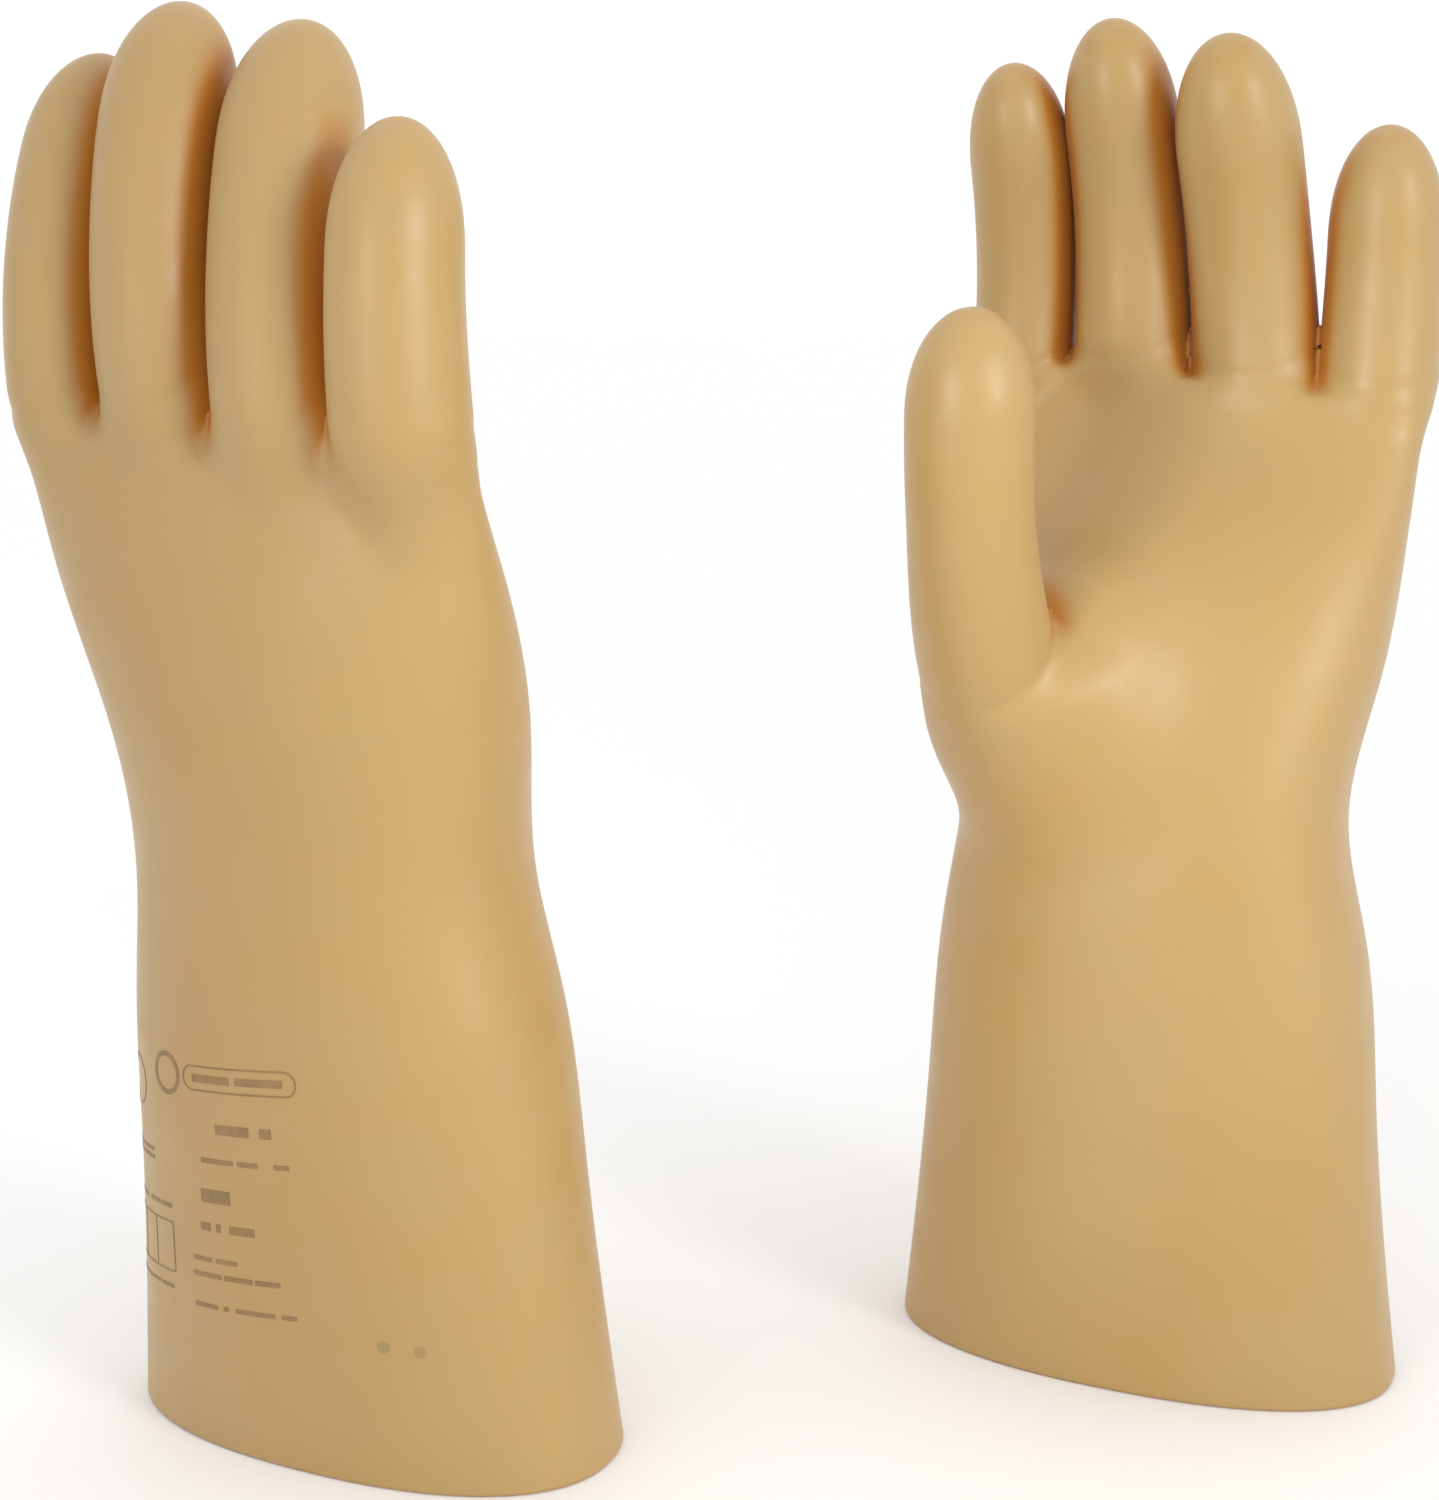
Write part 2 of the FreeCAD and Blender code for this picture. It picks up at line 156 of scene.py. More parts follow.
CROTCH_RISE = 0.23              # and is higher on the palm's side than on the back
CROTCH_LIFT = 0.13              # and rises faster still towards the palm's face
CROTCH_DEPTH = -37.0            # the middle line between palm and back
CROTCH_ROUND = 6.0
CROTCH_BEND = 4.0               # the rise changes within about this of the middle line


def oval_distance(across, deep, half_width, half_depth, power):
    """Roughly the distance to an oval, in its own plane."""
    u = np.abs(across) / half_width
    v = np.abs(deep) / half_depth
    q = np.maximum(u ** power + v ** power, 1e-4)
    size = q ** (1 / power)
    slope = q ** (1 / power - 1) * np.hypot(u ** (power - 1) / half_width,
                                            v ** (power - 1) / half_depth)
    return (size - 1) / np.maximum(slope, 1e-4)


def trunk_walls(p):
    """Distances to the trunk's side wall and to its top between the fingers."""
    z = np.minimum(p[:, 2], TRUNK_TOP)
    side_wall = oval_distance(p[:, 0] - shift_x_at(z), p[:, 1] - shift_y_at(z),
                              half_width_at(z), half_depth_at(z), OVAL_POWER)
    depth = p[:, 1] - CROTCH_DEPTH
    top = p[:, 2] - (CROTCH_LEVEL + CROTCH_SLOPE * p[:, 0] + CROTCH_RISE * depth
                     + CROTCH_LIFT * (depth + np.hypot(depth, CROTCH_BEND)))
    return side_wall, top


def trunk_distance(p):
    return trim(*trunk_walls(p), CROTCH_ROUND)


# ---------------------------------------------------------------------------------------------
# The digits
# ---------------------------------------------------------------------------------------------

class Digit:
    """A tube with a round tip whose centre line is an arc through its two hinges."""

    GROWTH = (-20.0, 30.0)      # the root's girth turns into the tube's between these
    TIP_POWER = 2.15            # how squarely the tip closes
    START = -20.0               # where the tube begins when it is measured as a whole
    START_ROUND = 8.0
    TIP_CLEAR = 3.0             # the girth stops shrinking this far short of the tip
    TIP_ROUND = 4.0

    def __init__(self, name, half_width, half_depth, turn, reach, tip_length, root_share,
                 shift, sideways):
        self.half_width = half_width
        self.half_depth = half_depth
        self.tip_length = tip_length
        self.root_share = root_share
        root = hinge(name + "_root_flex")
        chord = hinge(name + "_tip_flex") - root
        self.root = root + np.array([shift, 0.0, 0.0])
        palm = np.array([0.0, 1.0, 0.0])
        level = np.cross(palm, chord)
        level /= np.linalg.norm(level)
        lean = math.radians(sideways)
        self.across = level * math.cos(lean) - np.cross(level, palm) * math.sin(lean)
        self.palm = palm
        self.up = np.cross(self.across, palm)
        span = np.linalg.norm(chord)
        self.radius = 1 / math.radians(turn)
        half_angle = math.asin(span / 2 / self.radius)
        self.lean = math.atan2(chord @ palm, chord @ self.up) - half_angle
        self.knuckle = abs(2 * half_angle * self.radius)
        self.length = self.knuckle + reach
        self.centre = self.radius * np.array([math.cos(self.lean), -math.sin(self.lean)])

    def along(self, p):
        """Distances along the arc, across it and out of it towards the palm."""
        w = p - self.root
        q = (self.centre - np.stack([w @ self.palm, w @ self.up], 1)) * np.sign(self.radius)
        angle = np.arctan2(-q[:, 1], q[:, 0])
        s = self.radius * (angle - self.lean)
        v = self.radius - np.sign(self.radius) * np.hypot(q[:, 0], q[:, 1])
        return s, w @ self.across, v

    def point(self, s, u=0.0, v=0.0):
        """The place at a distance along, across and out of the arc."""
        angle = self.lean + s / self.radius
        inward = np.stack([np.cos(angle), -np.sin(angle)], -1)
        flat = self.centre + inward * (np.asarray(v) - self.radius)[..., None]
        return (self.root + flat[..., :1] * self.palm + flat[..., 1:] * self.up
                + np.asarray(u)[..., None] * self.across)

    def heading(self, s):
        """The direction of the arc."""
        angle = self.lean + s / self.radius
        return math.sin(angle) * self.palm + math.cos(angle) * self.up

    def growth(self, s):
        """The tube's girth as a share of its full girth."""
        return self.root_share + (1 - self.root_share) * ease(s, *self.GROWTH)

    def girth(self, s, inset=0.0):
        """Half width and half depth of the tube."""
        grown = self.growth(s)
        tip = self.length - inset
        t = np.clip((s - (tip - self.tip_length + inset)) / (self.tip_length - inset), 0, 1)
        closing = np.sqrt(np.maximum(1 - t ** self.TIP_POWER, 0))
        return ((self.half_width * grown - inset) * closing,
                (self.half_depth * grown - inset) * closing)

    def distance(self, p):
        """Roughly the distance to the tube as if it had no tip, and the place along it."""
        s, u, v = self.along(p)
        grown = self.growth(s)
        wall = oval_distance(u, v, self.half_width * grown, self.half_depth * grown, ELLIPSE)
        return wall, s

    def whole_distance(self, p):
        """Roughly the distance to the tube with its tip, from just under its root."""
        s, u, v = self.along(p)
        a, b = self.girth(np.minimum(s, self.length - self.TIP_CLEAR))
        tube = oval_distance(u, v, a, b, ELLIPSE)
        return trim(trim(tube, s - self.length, self.TIP_ROUND), self.START - s, self.START_ROUND)


# Half width and half depth, turn towards the palm (degrees a millimetre), reach beyond the upper
# hinge, length of the rounded tip, the root's girth as a share of the tube's, and how far the
# tube lies and leans (degrees) from its hinges towards the little finger.
DIGIT_SIZES = {
    "thumb": (15.7, 16.0, -0.44, 38.2, 26.0, 1.12, 1.5, 0.9),
    "index": (13.6, 15.3, 0.54, 35.8, 28.0, 1.02, 0.3, 1.2),
    "middle": (15.1, 16.4, 0.465, 39.0, 31.0, 1.06, 1.1, -2.3),
    "ring": (16.1, 17.0, 0.39, 38.4, 32.0, 1.05, 0.6, -0.6),
    "little": (14.8, 15.6, 0.33, 28.4, 29.0, 1.06, 0.8, -0.8),
}
digits = {name: Digit(name, *sizes) for name, sizes in DIGIT_SIZES.items()}

SEAM = 8.0                      # half the length of skin around a digit's hinge
SEAM_ROUND = 1.0                # rounding of the field's end, that far beyond the hinge
CROTCH_JOIN = 6.0               # rounding between a finger and the trunk's top
FINGER_TOP = 20.0               # beyond this place along it a finger doesn't shape the trunk's top
FAR = 1e3                       # a distance that no rounding reaches
JOIN_FADE = (-24.0, -12.5)      # a finger's roundings fade out between these places along it
RIDGE_JOIN = 7.0                # rounding where a finger's ridge runs on into the hand
RIDGE_FADE = (14.0, 50.0)       # the ridge sinks between these distances below the hinge
RIDGE_SINK = 11.0               # to this depth
RIDGE_LENGTH = 46.0
RIDGE_ROUND = 8.0
THUMB_JOIN = 22.0               # rounding between the thumb and the hand
THUMB_FADE = (-24.0, -8.5)
THUMB_TAIL = 56.0               # how far the thumb's tube runs on into the hand
THUMB_TAIL_ROUND = 24.0
THUMB_BALL = (-19.0, 12.0, 183.0)       # the swelling at the thumb's base
THUMB_BALL_RADII = (30.0, 30.0, 40.0)
THUMB_BALL_JOIN = 16.0


def ball_distance(p, centre, radii):
    """Roughly the distance to an oval ball."""
    scaled = (p - np.array(centre)) / np.array(radii)
    size = np.maximum(np.linalg.norm(scaled, axis=1), 1e-3)
    slope = np.linalg.norm(scaled / np.array(radii), axis=1) / size
    return (size - 1) / np.maximum(slope, 1e-4)


def glove_distance(p):
    """The skin of a right-hand glove up to just past the root hinges."""
    side_wall, top = trunk_walls(p)
    tubes = []
    for name in FINGERS:
        finger, s = digits[name].distance(p)
        before = 1 - ease(s, *JOIN_FADE)
        top = join(top, np.where(s < FINGER_TOP, finger, FAR), CROTCH_JOIN * before)
        finger = finger + RIDGE_SINK * ease(-s, *RIDGE_FADE)
        finger = trim(finger, -(s + RIDGE_LENGTH), RIDGE_ROUND)
        tubes.append((trim(finger, s - SEAM, SEAM_ROUND), RIDGE_JOIN * before))
    skin = trim(side_wall, top, CROTCH_ROUND)
    for finger, reach in tubes:
        skin = join(skin, finger, reach)
    thumb_ball = ball_distance(p, THUMB_BALL, THUMB_BALL_RADII)
    skin = join(skin, thumb_ball, THUMB_BALL_JOIN)
    thumb, s = digits["thumb"].distance(p)
    thumb = trim(thumb, -(s + THUMB_TAIL), THUMB_TAIL_ROUND)
    thumb = trim(thumb, s - SEAM, SEAM_ROUND)
    return join(skin, thumb, THUMB_JOIN * (1 - ease(s, *THUMB_FADE)))


SLOPE_STEP = 0.05               # half the span over which a slope is measured
FLATTEST = 0.05                 # the least squared slope that a point is moved by
LONGEST_MOVE = 1.0


def gradient(field, p):
    """The direction of fastest growth and its rate, by small steps."""
    grad = np.empty_like(p)
    for axis in range(3):
        shift = np.zeros(3)
        shift[axis] = SLOPE_STEP
        grad[:, axis] = (field(p + shift) - field(p - shift)) / (2 * SLOPE_STEP)
    return grad


def settle(field, p, level, rounds=4):
    """Move points on to a level of the field."""
    for _ in range(rounds):
        grad = gradient(field, p)
        steepness = np.maximum((grad ** 2).sum(1), FLATTEST)
        move = ((field(p) - level) / steepness)[:, None] * grad
        p = p - np.clip(move, -LONGEST_MOVE, LONGEST_MOVE)
    return p


def outward(field, p):
    """The unit direction in which the field grows."""
    grad = gradient(field, p)
    return grad / np.maximum(np.linalg.norm(grad, axis=1), 1e-6)[:, None]


def whole_distance(p):
    """Roughly the distance to the complete glove, tips and all."""
    nearest = glove_distance(p)
    for digit in digits.values():
        nearest = np.minimum(nearest, digit.whole_distance(p))
    return nearest


# The painted shade: the skin is darkened to a deep orange-brown where other digits close in round
# it, as shade and light bounced between the digits would colour it.
PAINTED_SHADE_LOOKS = ((5.0, 0.3), (11.0, 0.4), (20.0, 0.3))      # how far out to look, and its share
PAINTED_SHADE_RANGE = (0.17, 0.85)       # how closed the room outside is where the painted shade starts and is full


def painted_shade_depth(points, normals):
    """The painted shade: 0 on an open surface, up to 1 deep between two digits."""
    closed = np.zeros(len(points))
    for reach, share in PAINTED_SHADE_LOOKS:
        room = whole_distance(points + normals * reach)
        closed += share * np.clip((reach - room) / reach, 0, 1)
    return ease(closed, *PAINTED_SHADE_RANGE)


# ---------------------------------------------------------------------------------------------
# Meshing the field
# ---------------------------------------------------------------------------------------------

def net(field, low, high, step, level):
    """Quads around a level of the field: one point for each grid cell that the level crosses."""
    low = np.array(low, float)
    counts = np.ceil((np.array(high) - low) / step).astype(int) + 1
    axes = [low[k] + np.arange(counts[k]) * step for k in range(3)]
    grid = np.stack(np.meshgrid(*axes, indexing="ij"), -1).reshape(-1, 3)
    inside = (field(grid) < level).reshape(counts)
    corner_count = np.zeros(counts - 1, int)
    for i in (0, 1):
        for j in (0, 1):
            for k in (0, 1):
                corner_count += inside[i:counts[0] - 1 + i, j:counts[1] - 1 + j,
                                       k:counts[2] - 1 + k]
    mixed = (corner_count > 0) & (corner_count < 8)
    number = np.full(counts - 1, -1)
    number[mixed] = np.arange(mixed.sum())
    points = low + (np.argwhere(mixed) + 0.5) * step
    quads = []
    for axis in range(3):
        b, c = (axis + 1) % 3, (axis + 2) % 3
        first = inside.take(range(counts[axis] - 1), axis)
        second = inside.take(range(1, counts[axis]), axis)
        crossed = np.argwhere(first != second)
        keep = ((crossed[:, b] > 0) & (crossed[:, c] > 0)
                & (crossed[:, b] < counts[b] - 1) & (crossed[:, c] < counts[c] - 1))
        crossed = crossed[keep]
        leaving = first[tuple(crossed.T)]
        ring = []
        for back_b, back_c in ((0, 0), (1, 0), (1, 1), (0, 1)):
            cell = crossed.copy()
            cell[:, b] -= back_b
            cell[:, c] -= back_c
            ring.append(number[tuple(cell.T)])
        ring = np.stack(ring, 1)
        ring[~leaving] = ring[~leaving][:, ::-1]
        quads.append(ring)
    return points, np.concatenate(quads)


def relax(field, points, quads, level, rounds=5):
    """Even out the quads while keeping the points on the level."""
    pairs = np.concatenate([quads[:, [k, (k + 1) % 4]] for k in range(4)])
    pairs = np.unique(np.sort(pairs, 1), axis=0)
    both = np.concatenate([pairs, pairs[:, ::-1]])
    degree = np.bincount(both[:, 0], minlength=len(points)).astype(float)
    points = settle(field, points, level)
    for _ in range(rounds):
        total = np.zeros_like(points)
        for axis in range(3):
            total[:, axis] = np.bincount(both[:, 0], points[both[:, 1], axis], len(points))
        points = points + 0.5 * (total / np.maximum(degree, 1)[:, None] - points)
        points = settle(field, points, level, 2)
    return points


NET_STEP = 2.0                  # the grid that the field is meshed on, and its two corners
NET_LOW = (-80.0, -66.0, 108.0)
NET_HIGH = (80.0, 92.0, 292.0)
WRIST_START = 118.0             # the skin between these levels is the wrist's own piece
WRIST_END = 178.0


def trunk_skins():
    """Both sides of the skin between the gauntlet and the digits' seams, as one set of quads."""
    all_points, all_quads = [], []
    count = 0
    for level in (0.0, -WALL):
        points, quads = net(glove_distance, NET_LOW, NET_HIGH, NET_STEP, level)
        points = relax(glove_distance, points, quads, level)
        if level:
            quads = quads[:, ::-1]
        all_points.append(points)
        all_quads.append(quads + count)
        count += len(points)
    return np.concatenate(all_points), np.concatenate(all_quads)


def as_bmesh(points, faces):
    mesh = bpy.data.meshes.new("work")
    mesh.from_pydata(points.tolist(), [], faces.tolist())
    shape = bmesh.new()
    shape.from_mesh(mesh)
    bpy.data.meshes.remove(mesh)
    return shape


ON_PLANE = 1e-3                 # a point this near a plane lies on it
RIM_REACH = 30.0                # the edge of a digit's cut lies within this of its middle


def cut(shape, place, heading, part=None):
    """Cut along a plane, drop what is in front of it, and close the wall's open edge."""
    faces = shape.faces if part is None else [f for f in shape.faces if part(f)]
    edges = {e for f in faces for e in f.edges}
    verts = {v for f in faces for v in f.verts}
    bmesh.ops.bisect_plane(shape, geom=list(verts) + list(edges) + list(faces), dist=1e-4,
                           plane_co=place, plane_no=heading)
    place = Vector(place)
    heading = Vector(heading)
    beyond = [f for f in shape.faces if (f.calc_center_median() - place).dot(heading) > 0
              and (part is None or part(f))]
    bmesh.ops.delete(shape, geom=beyond, context="FACES")
    rim = [e for e in shape.edges if e.is_boundary
           and all(abs((v.co - place).dot(heading)) < ON_PLANE for v in e.verts)]
    if part is not None:
        rim = [e for e in rim if (e.verts[0].co - place).length < RIM_REACH]
    bmesh.ops.triangle_fill(shape, use_beauty=True, use_dissolve=False, edges=rim)


DIGIT_REACH = 36.0              # a digit's own faces lie within this of its root hinge,
DIGIT_BELOW = 6.0               # no further than this below its seam,
DIGIT_OUTSIDE = 1.2             # no further than this outside its tube,
DIGIT_NEARER = 0.3              # and nearer to its tube than to any other by this much


def on_digit(digit):
    """Picks the faces of a digit's own tube around its seam."""
    def test(face):
        at = np.array([face.calc_center_median()[:]])
        if np.linalg.norm(at[0] - digit.root) > DIGIT_REACH:
            return False
        wall, s = digit.distance(at)
        if s[0] < -SEAM - DIGIT_BELOW or wall[0] > DIGIT_OUTSIDE:
            return False
        others = [other.distance(at)[0][0] for other in digits.values() if other is not digit]
        return wall[0] < min(others) - DIGIT_NEARER
    return test


# ---------------------------------------------------------------------------------------------
# Ring-built pieces
# ---------------------------------------------------------------------------------------------

def rings_to_faces(count, around, closed_end):
    """Quads between rings of equal size, and a fan on to a last single point."""
    faces = []
    for i in range(count - 1):
        for j in range(around):
            k = (j + 1) % around
            faces.append((i * around + j, i * around + k, (i + 1) * around + k,
                          (i + 1) * around + j))
    if closed_end:
        last = (count - 1) * around
        for j in range(around):
            faces.append((last + j, last + (j + 1) % around, last + around))
    return faces


OVERLAP = 6.0                   # how far a digit's tube runs on inside the hand's skin,
OVERLAP_RINGS = (3.0, 1.0)      # with rings this far below the seam,
TUCK = 0.25                     # and how far under the hand's face it lies there,
TUCK_FADE = (0.1, 1.0)          # reached between these distances below the seam
STALL_AROUND = 72
STALL_RING_GAP = 1.6
TIP_RINGS = 22
NEAR_STEP = 0.02                # how far off a ring's neighbours are when its slopes are measured


def stall_skin(digit, start, end, closed):
    """A digit's tube from start to end: outside, inside and the wall's open edges."""
    around = STALL_AROUND
    turn = np.arange(around) * 2 * math.pi / around

    def spots(levels, inset, shift=0.0):
        """Rings of points at the levels, each turned on by the shift."""
        levels = np.asarray(levels, float)[:, None]
        tucked = TUCK * ease(-SEAM - levels, *TUCK_FADE)
        a, b = digit.girth(levels, inset)
        a, b = a - tucked, b - tucked
        u = (a * np.cos(turn + shift)).ravel()
        v = (b * np.sin(turn + shift)).ravel()
        return digit.point(np.broadcast_to(levels, (len(levels), around)).ravel(), u, v)

    def one_side(inset):
        stop = digit.length - inset if closed else end
        body_end = digit.length - digit.tip_length if closed else end
        from_seam = max(start, -SEAM)
        levels = []
        if start < -SEAM:
            levels = [start] + [-SEAM - below for below in OVERLAP_RINGS]
        levels += list(np.linspace(from_seam, body_end,
                                   max(3, int((body_end - from_seam) / STALL_RING_GAP))))
        if closed:
            # Rings close up towards the tip so that its outline stays round.
            levels += [body_end + (stop - body_end) * math.sin(math.pi / 2 * k / TIP_RINGS)
                       for k in range(1, TIP_RINGS)]
        levels = np.array(levels)
        points = spots(levels, inset)
        ahead = levels + NEAR_STEP
        if closed:
            ahead = np.minimum(ahead, stop - 1e-4)
        across = spots(levels, inset, NEAR_STEP) - spots(levels, inset, -NEAR_STEP)
        normals = np.cross(across, spots(ahead, inset) - spots(levels - NEAR_STEP, inset))
        normals /= np.linalg.norm(normals, axis=1)[:, None]
        if closed:
            points = np.concatenate([points, digit.point(np.array([stop]), np.zeros(1),
                                                         np.zeros(1))])
            normals = np.concatenate([normals, digit.heading(stop)[None]])
        return points, normals, rings_to_faces(len(levels), around, closed), len(levels)

    outer, outer_normals, outer_faces, outer_rings = one_side(0.0)
    inner, inner_normals, inner_faces, inner_rings = one_side(WALL)
    normals = np.concatenate([outer_normals, -inner_normals])
    offset = len(outer)
    faces = list(outer_faces)
    faces += [tuple(offset + i for i in reversed(face)) for face in inner_faces]
    for j in range(around):
        k = (j + 1) % around
        faces.append((j, offset + j, offset + k, k))
        if not closed:
            o = (outer_rings - 1) * around
            i = offset + (inner_rings - 1) * around
            faces.append((o + j, o + k, i + k, i + j))
    return np.concatenate([outer, inner]), faces, normals


def cuff_point(turn, level):
    """Points on the outside of the cuff at an angle round it and a level above the rim."""
    circle = (np.abs(np.cos(turn)) ** OVAL_POWER
              + np.abs(np.sin(turn)) ** OVAL_POWER) ** (-1 / OVAL_POWER)
    return np.stack([shift_x_at(level) + half_width_at(level) * circle * np.cos(turn),
                     shift_y_at(level) + half_depth_at(level) * circle * np.sin(turn),
                     level], -1)


CUFF_AROUND = 192
CUFF_ROWS = 40
RIM_ROWS = 11
RIM_GAP = 2.0                   # between the rounded rim and the first row above it


def gauntlet_skin():
    """The cuff up to where the wrist's piece starts, with a rounded rim."""
    around = CUFF_AROUND
    turn = np.arange(around) * 2 * math.pi / around
    lip = WALL / 2
    up = np.linspace(lip + RIM_GAP, WRIST_START, CUFF_ROWS)
    down = np.linspace(WRIST_START, lip + RIM_GAP, CUFF_ROWS)
    # Each row has a level, a depth in the wall, and how far its face looks out and down.
    rows = [(level, WALL, -1.0, 0.0) for level in down]
    rows += [(lip - lip * math.sin(angle), lip + lip * math.cos(angle), -math.cos(angle),
              math.sin(angle)) for angle in np.linspace(0, math.pi, RIM_ROWS)]
    rows += [(level, 0.0, 1.0, 0.0) for level in up]
    points, normals = [], []
    for level, depth, looks_out, looks_down in rows:
        outside = cuff_point(turn, np.full(around, float(level)))
        slope = outward(trunk_distance, outside)
        flat = slope * (1, 1, 0)
        flat /= np.linalg.norm(flat, axis=1)[:, None]
        points.append(outside - flat * depth)
        normals.append(slope * looks_out - np.array([0.0, 0.0, looks_down]))
    faces = rings_to_faces(len(rows), around, False)
    last = (len(rows) - 1) * around
    for j in range(around):
        k = (j + 1) % around
        faces.append((last + j, last + k, k, j))
    return np.concatenate(points), faces, np.concatenate(normals)


# ---------------------------------------------------------------------------------------------
# Putting pieces in the scene
# ---------------------------------------------------------------------------------------------

def place_piece(name, skin, hand, side, material):
    """A mesh object in metres in the frame; a mirrored glove's faces are turned round."""
    points, faces, normals, painted_shades = skin
    spots = np.asarray(points, float) * (1, side, 1) * MM + glove_origin(hand, side)
    faces = [tuple(reversed(face)) if side < 0 else tuple(face) for face in faces]
    mesh = bpy.data.meshes.new(name)
    mesh.from_pydata(spots.tolist(), [], faces)
    mesh.polygons.foreach_set("use_smooth", [True] * len(mesh.polygons))
    mesh.materials.append(material)
    mesh.update()
    mesh.normals_split_custom_set_from_vertices((normals * (1, side, 1)).tolist())
    # Each point carries its painted shade, which the material mixes in as a darker orange.
    painted_shade = mesh.attributes.new("painted_shade", "FLOAT", "POINT")
    painted_shade.data.foreach_set("value", painted_shades.astype(np.float32))
    piece = bpy.data.objects.new(name, mesh)
    bpy.context.scene.collection.objects.link(piece)
    return piece


def bmesh_arrays(shape):
    """Points, faces and the field's own normals, which run on across the cuts."""
    shape.verts.ensure_lookup_table()
    shape.verts.index_update()
    points = np.array([v.co[:] for v in shape.verts])
    faces = [tuple(v.index for v in f.verts) for f in shape.faces]
    normals = outward(glove_distance, points)
    normals[glove_distance(points) < -WALL / 2] *= -1
    return points, faces, normals


def in_frame(point, hand, side):
    """A place on a right-hand glove as a place on either glove in the frame."""
    return tuple(np.asarray(point) * (1, side, 1) * MM + glove_origin(hand, side))


def build_skins():
    """Every piece of a right-hand glove's skin, as points and faces in its own frame."""
    points, quads = trunk_skins()
    whole = as_bmesh(points, quads)
    for name in DIGITS:
        digit = digits[name]
        cut(whole, digit.point(np.array(-SEAM)), digit.heading(-SEAM), on_digit(digit))
    skins = {"gauntlet": gauntlet_skin()}
    wrist = whole.copy()
    cut(wrist, (0, 0, WRIST_END), (0, 0, 1))
    cut(wrist, (0, 0, WRIST_START), (0, 0, -1))
    skins["wrist"] = bmesh_arrays(wrist)
    cut(whole, (0, 0, WRIST_END), (0, 0, -1))
    skins["hand"] = bmesh_arrays(whole)
    for name in DIGITS:
        digit = digits[name]
        middle = digit.knuckle - SEAM
        skins[name + "_lower"] = stall_skin(digit, -SEAM - OVERLAP, middle, False)
        skins[name + "_upper"] = stall_skin(digit, middle, digit.length, True)
    # Each piece also gets its painted shade between the digits.
    return {part: (*skin, painted_shade_depth(skin[0], skin[2])) for part, skin in skins.items()}


def build_glove(hand, side, skins, material):
    """One glove's pieces; the cuff's and the hand's are tied to the bodies that carry them."""
    def piece(part):
        skin = place_piece("%s_%s_skin" % (hand, part), skins[part], hand, side, material)
        return skin

    gauntlet = piece("gauntlet")
    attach(gauntlet, hand + "_gauntlet")
    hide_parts(hand + "_gauntlet")
    wrist = piece("wrist")
    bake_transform(wrist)
    palm = piece("hand")
    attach(palm, hand + "_hand")
    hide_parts(hand + "_hand")
    for name in DIGITS:
        digit = digits[name]
        bodies = [hand + "_hand", "%s_%s_lower" % (hand, name), "%s_%s_upper" % (hand, name)]
        for part, centre, near, far in (("lower", 0.0, bodies[0], bodies[1]),
                                        ("upper", digit.knuckle, bodies[1], bodies[2])):
            stall = piece("%s_%s" % (name, part))
            in_frame(digit.point(np.array(centre - SEAM)), hand, side)
            in_frame(digit.point(np.array(centre + SEAM)), hand, side)
            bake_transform(stall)
            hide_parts("%s_%s_%s_stall" % (hand, name, part))


# ---------------------------------------------------------------------------------------------
# Material
# ---------------------------------------------------------------------------------------------

def noise(tree, place, scale, detail, roughness=0.5):
    """A noise texture in the object's own place."""
    node = tree.nodes.new("ShaderNodeTexNoise")
    node.inputs["Scale"].default_value = scale
    node.inputs["Detail"].default_value = detail
    node.inputs["Roughness"].default_value = roughness
    tree.links.new(place, node.inputs["Vector"])
    return node.outputs["Fac"]


def spread(tree, value, low, high, start=0.3, end=0.7):
    """A value between start and end stretched to lie between low and high."""
    node = tree.nodes.new("ShaderNodeMapRange")
    for socket, number in (("From Min", start), ("From Max", end), ("To Min", low),
                           ("To Max", high)):
        node.inputs[socket].default_value = number
    tree.links.new(value, node.inputs["Value"])
    return node.outputs["Result"]


def mix(tree, amount, first, second):
    """A colour between two; each is a colour or an output."""
    node = tree.nodes.new("ShaderNodeMix")
    node.data_type = "RGBA"
    tree.links.new(amount, node.inputs["Factor"])
    for socket, colour in (("A", first), ("B", second)):
        target = next(s for s in node.inputs if s.name == socket and s.type == "RGBA")
        if isinstance(colour, tuple):
            target.default_value = (*colour, 1)
        else:
            tree.links.new(colour, target)
    return next(s for s in node.outputs if s.type == "RGBA")


def bump(tree, height, distance, strength, before=None):
    node = tree.nodes.new("ShaderNodeBump")
    node.inputs["Strength"].default_value = strength
    node.inputs["Distance"].default_value = distance
    tree.links.new(height, node.inputs["Height"])
    if before is not None:
        tree.links.new(before, node.inputs["Normal"])
    return node.outputs["Normal"]


# Scattered together over an open surface, and the last one is painted shade where the skin lies
# between digits.
LATEX_LIGHT = (0.440, 0.289, 0.104)
LATEX_WARM = (0.428, 0.260, 0.080)
LATEX_GREY = (0.414, 0.277, 0.114)
LATEX_PAINTED_SHADE = (0.440, 0.165, 0.014)


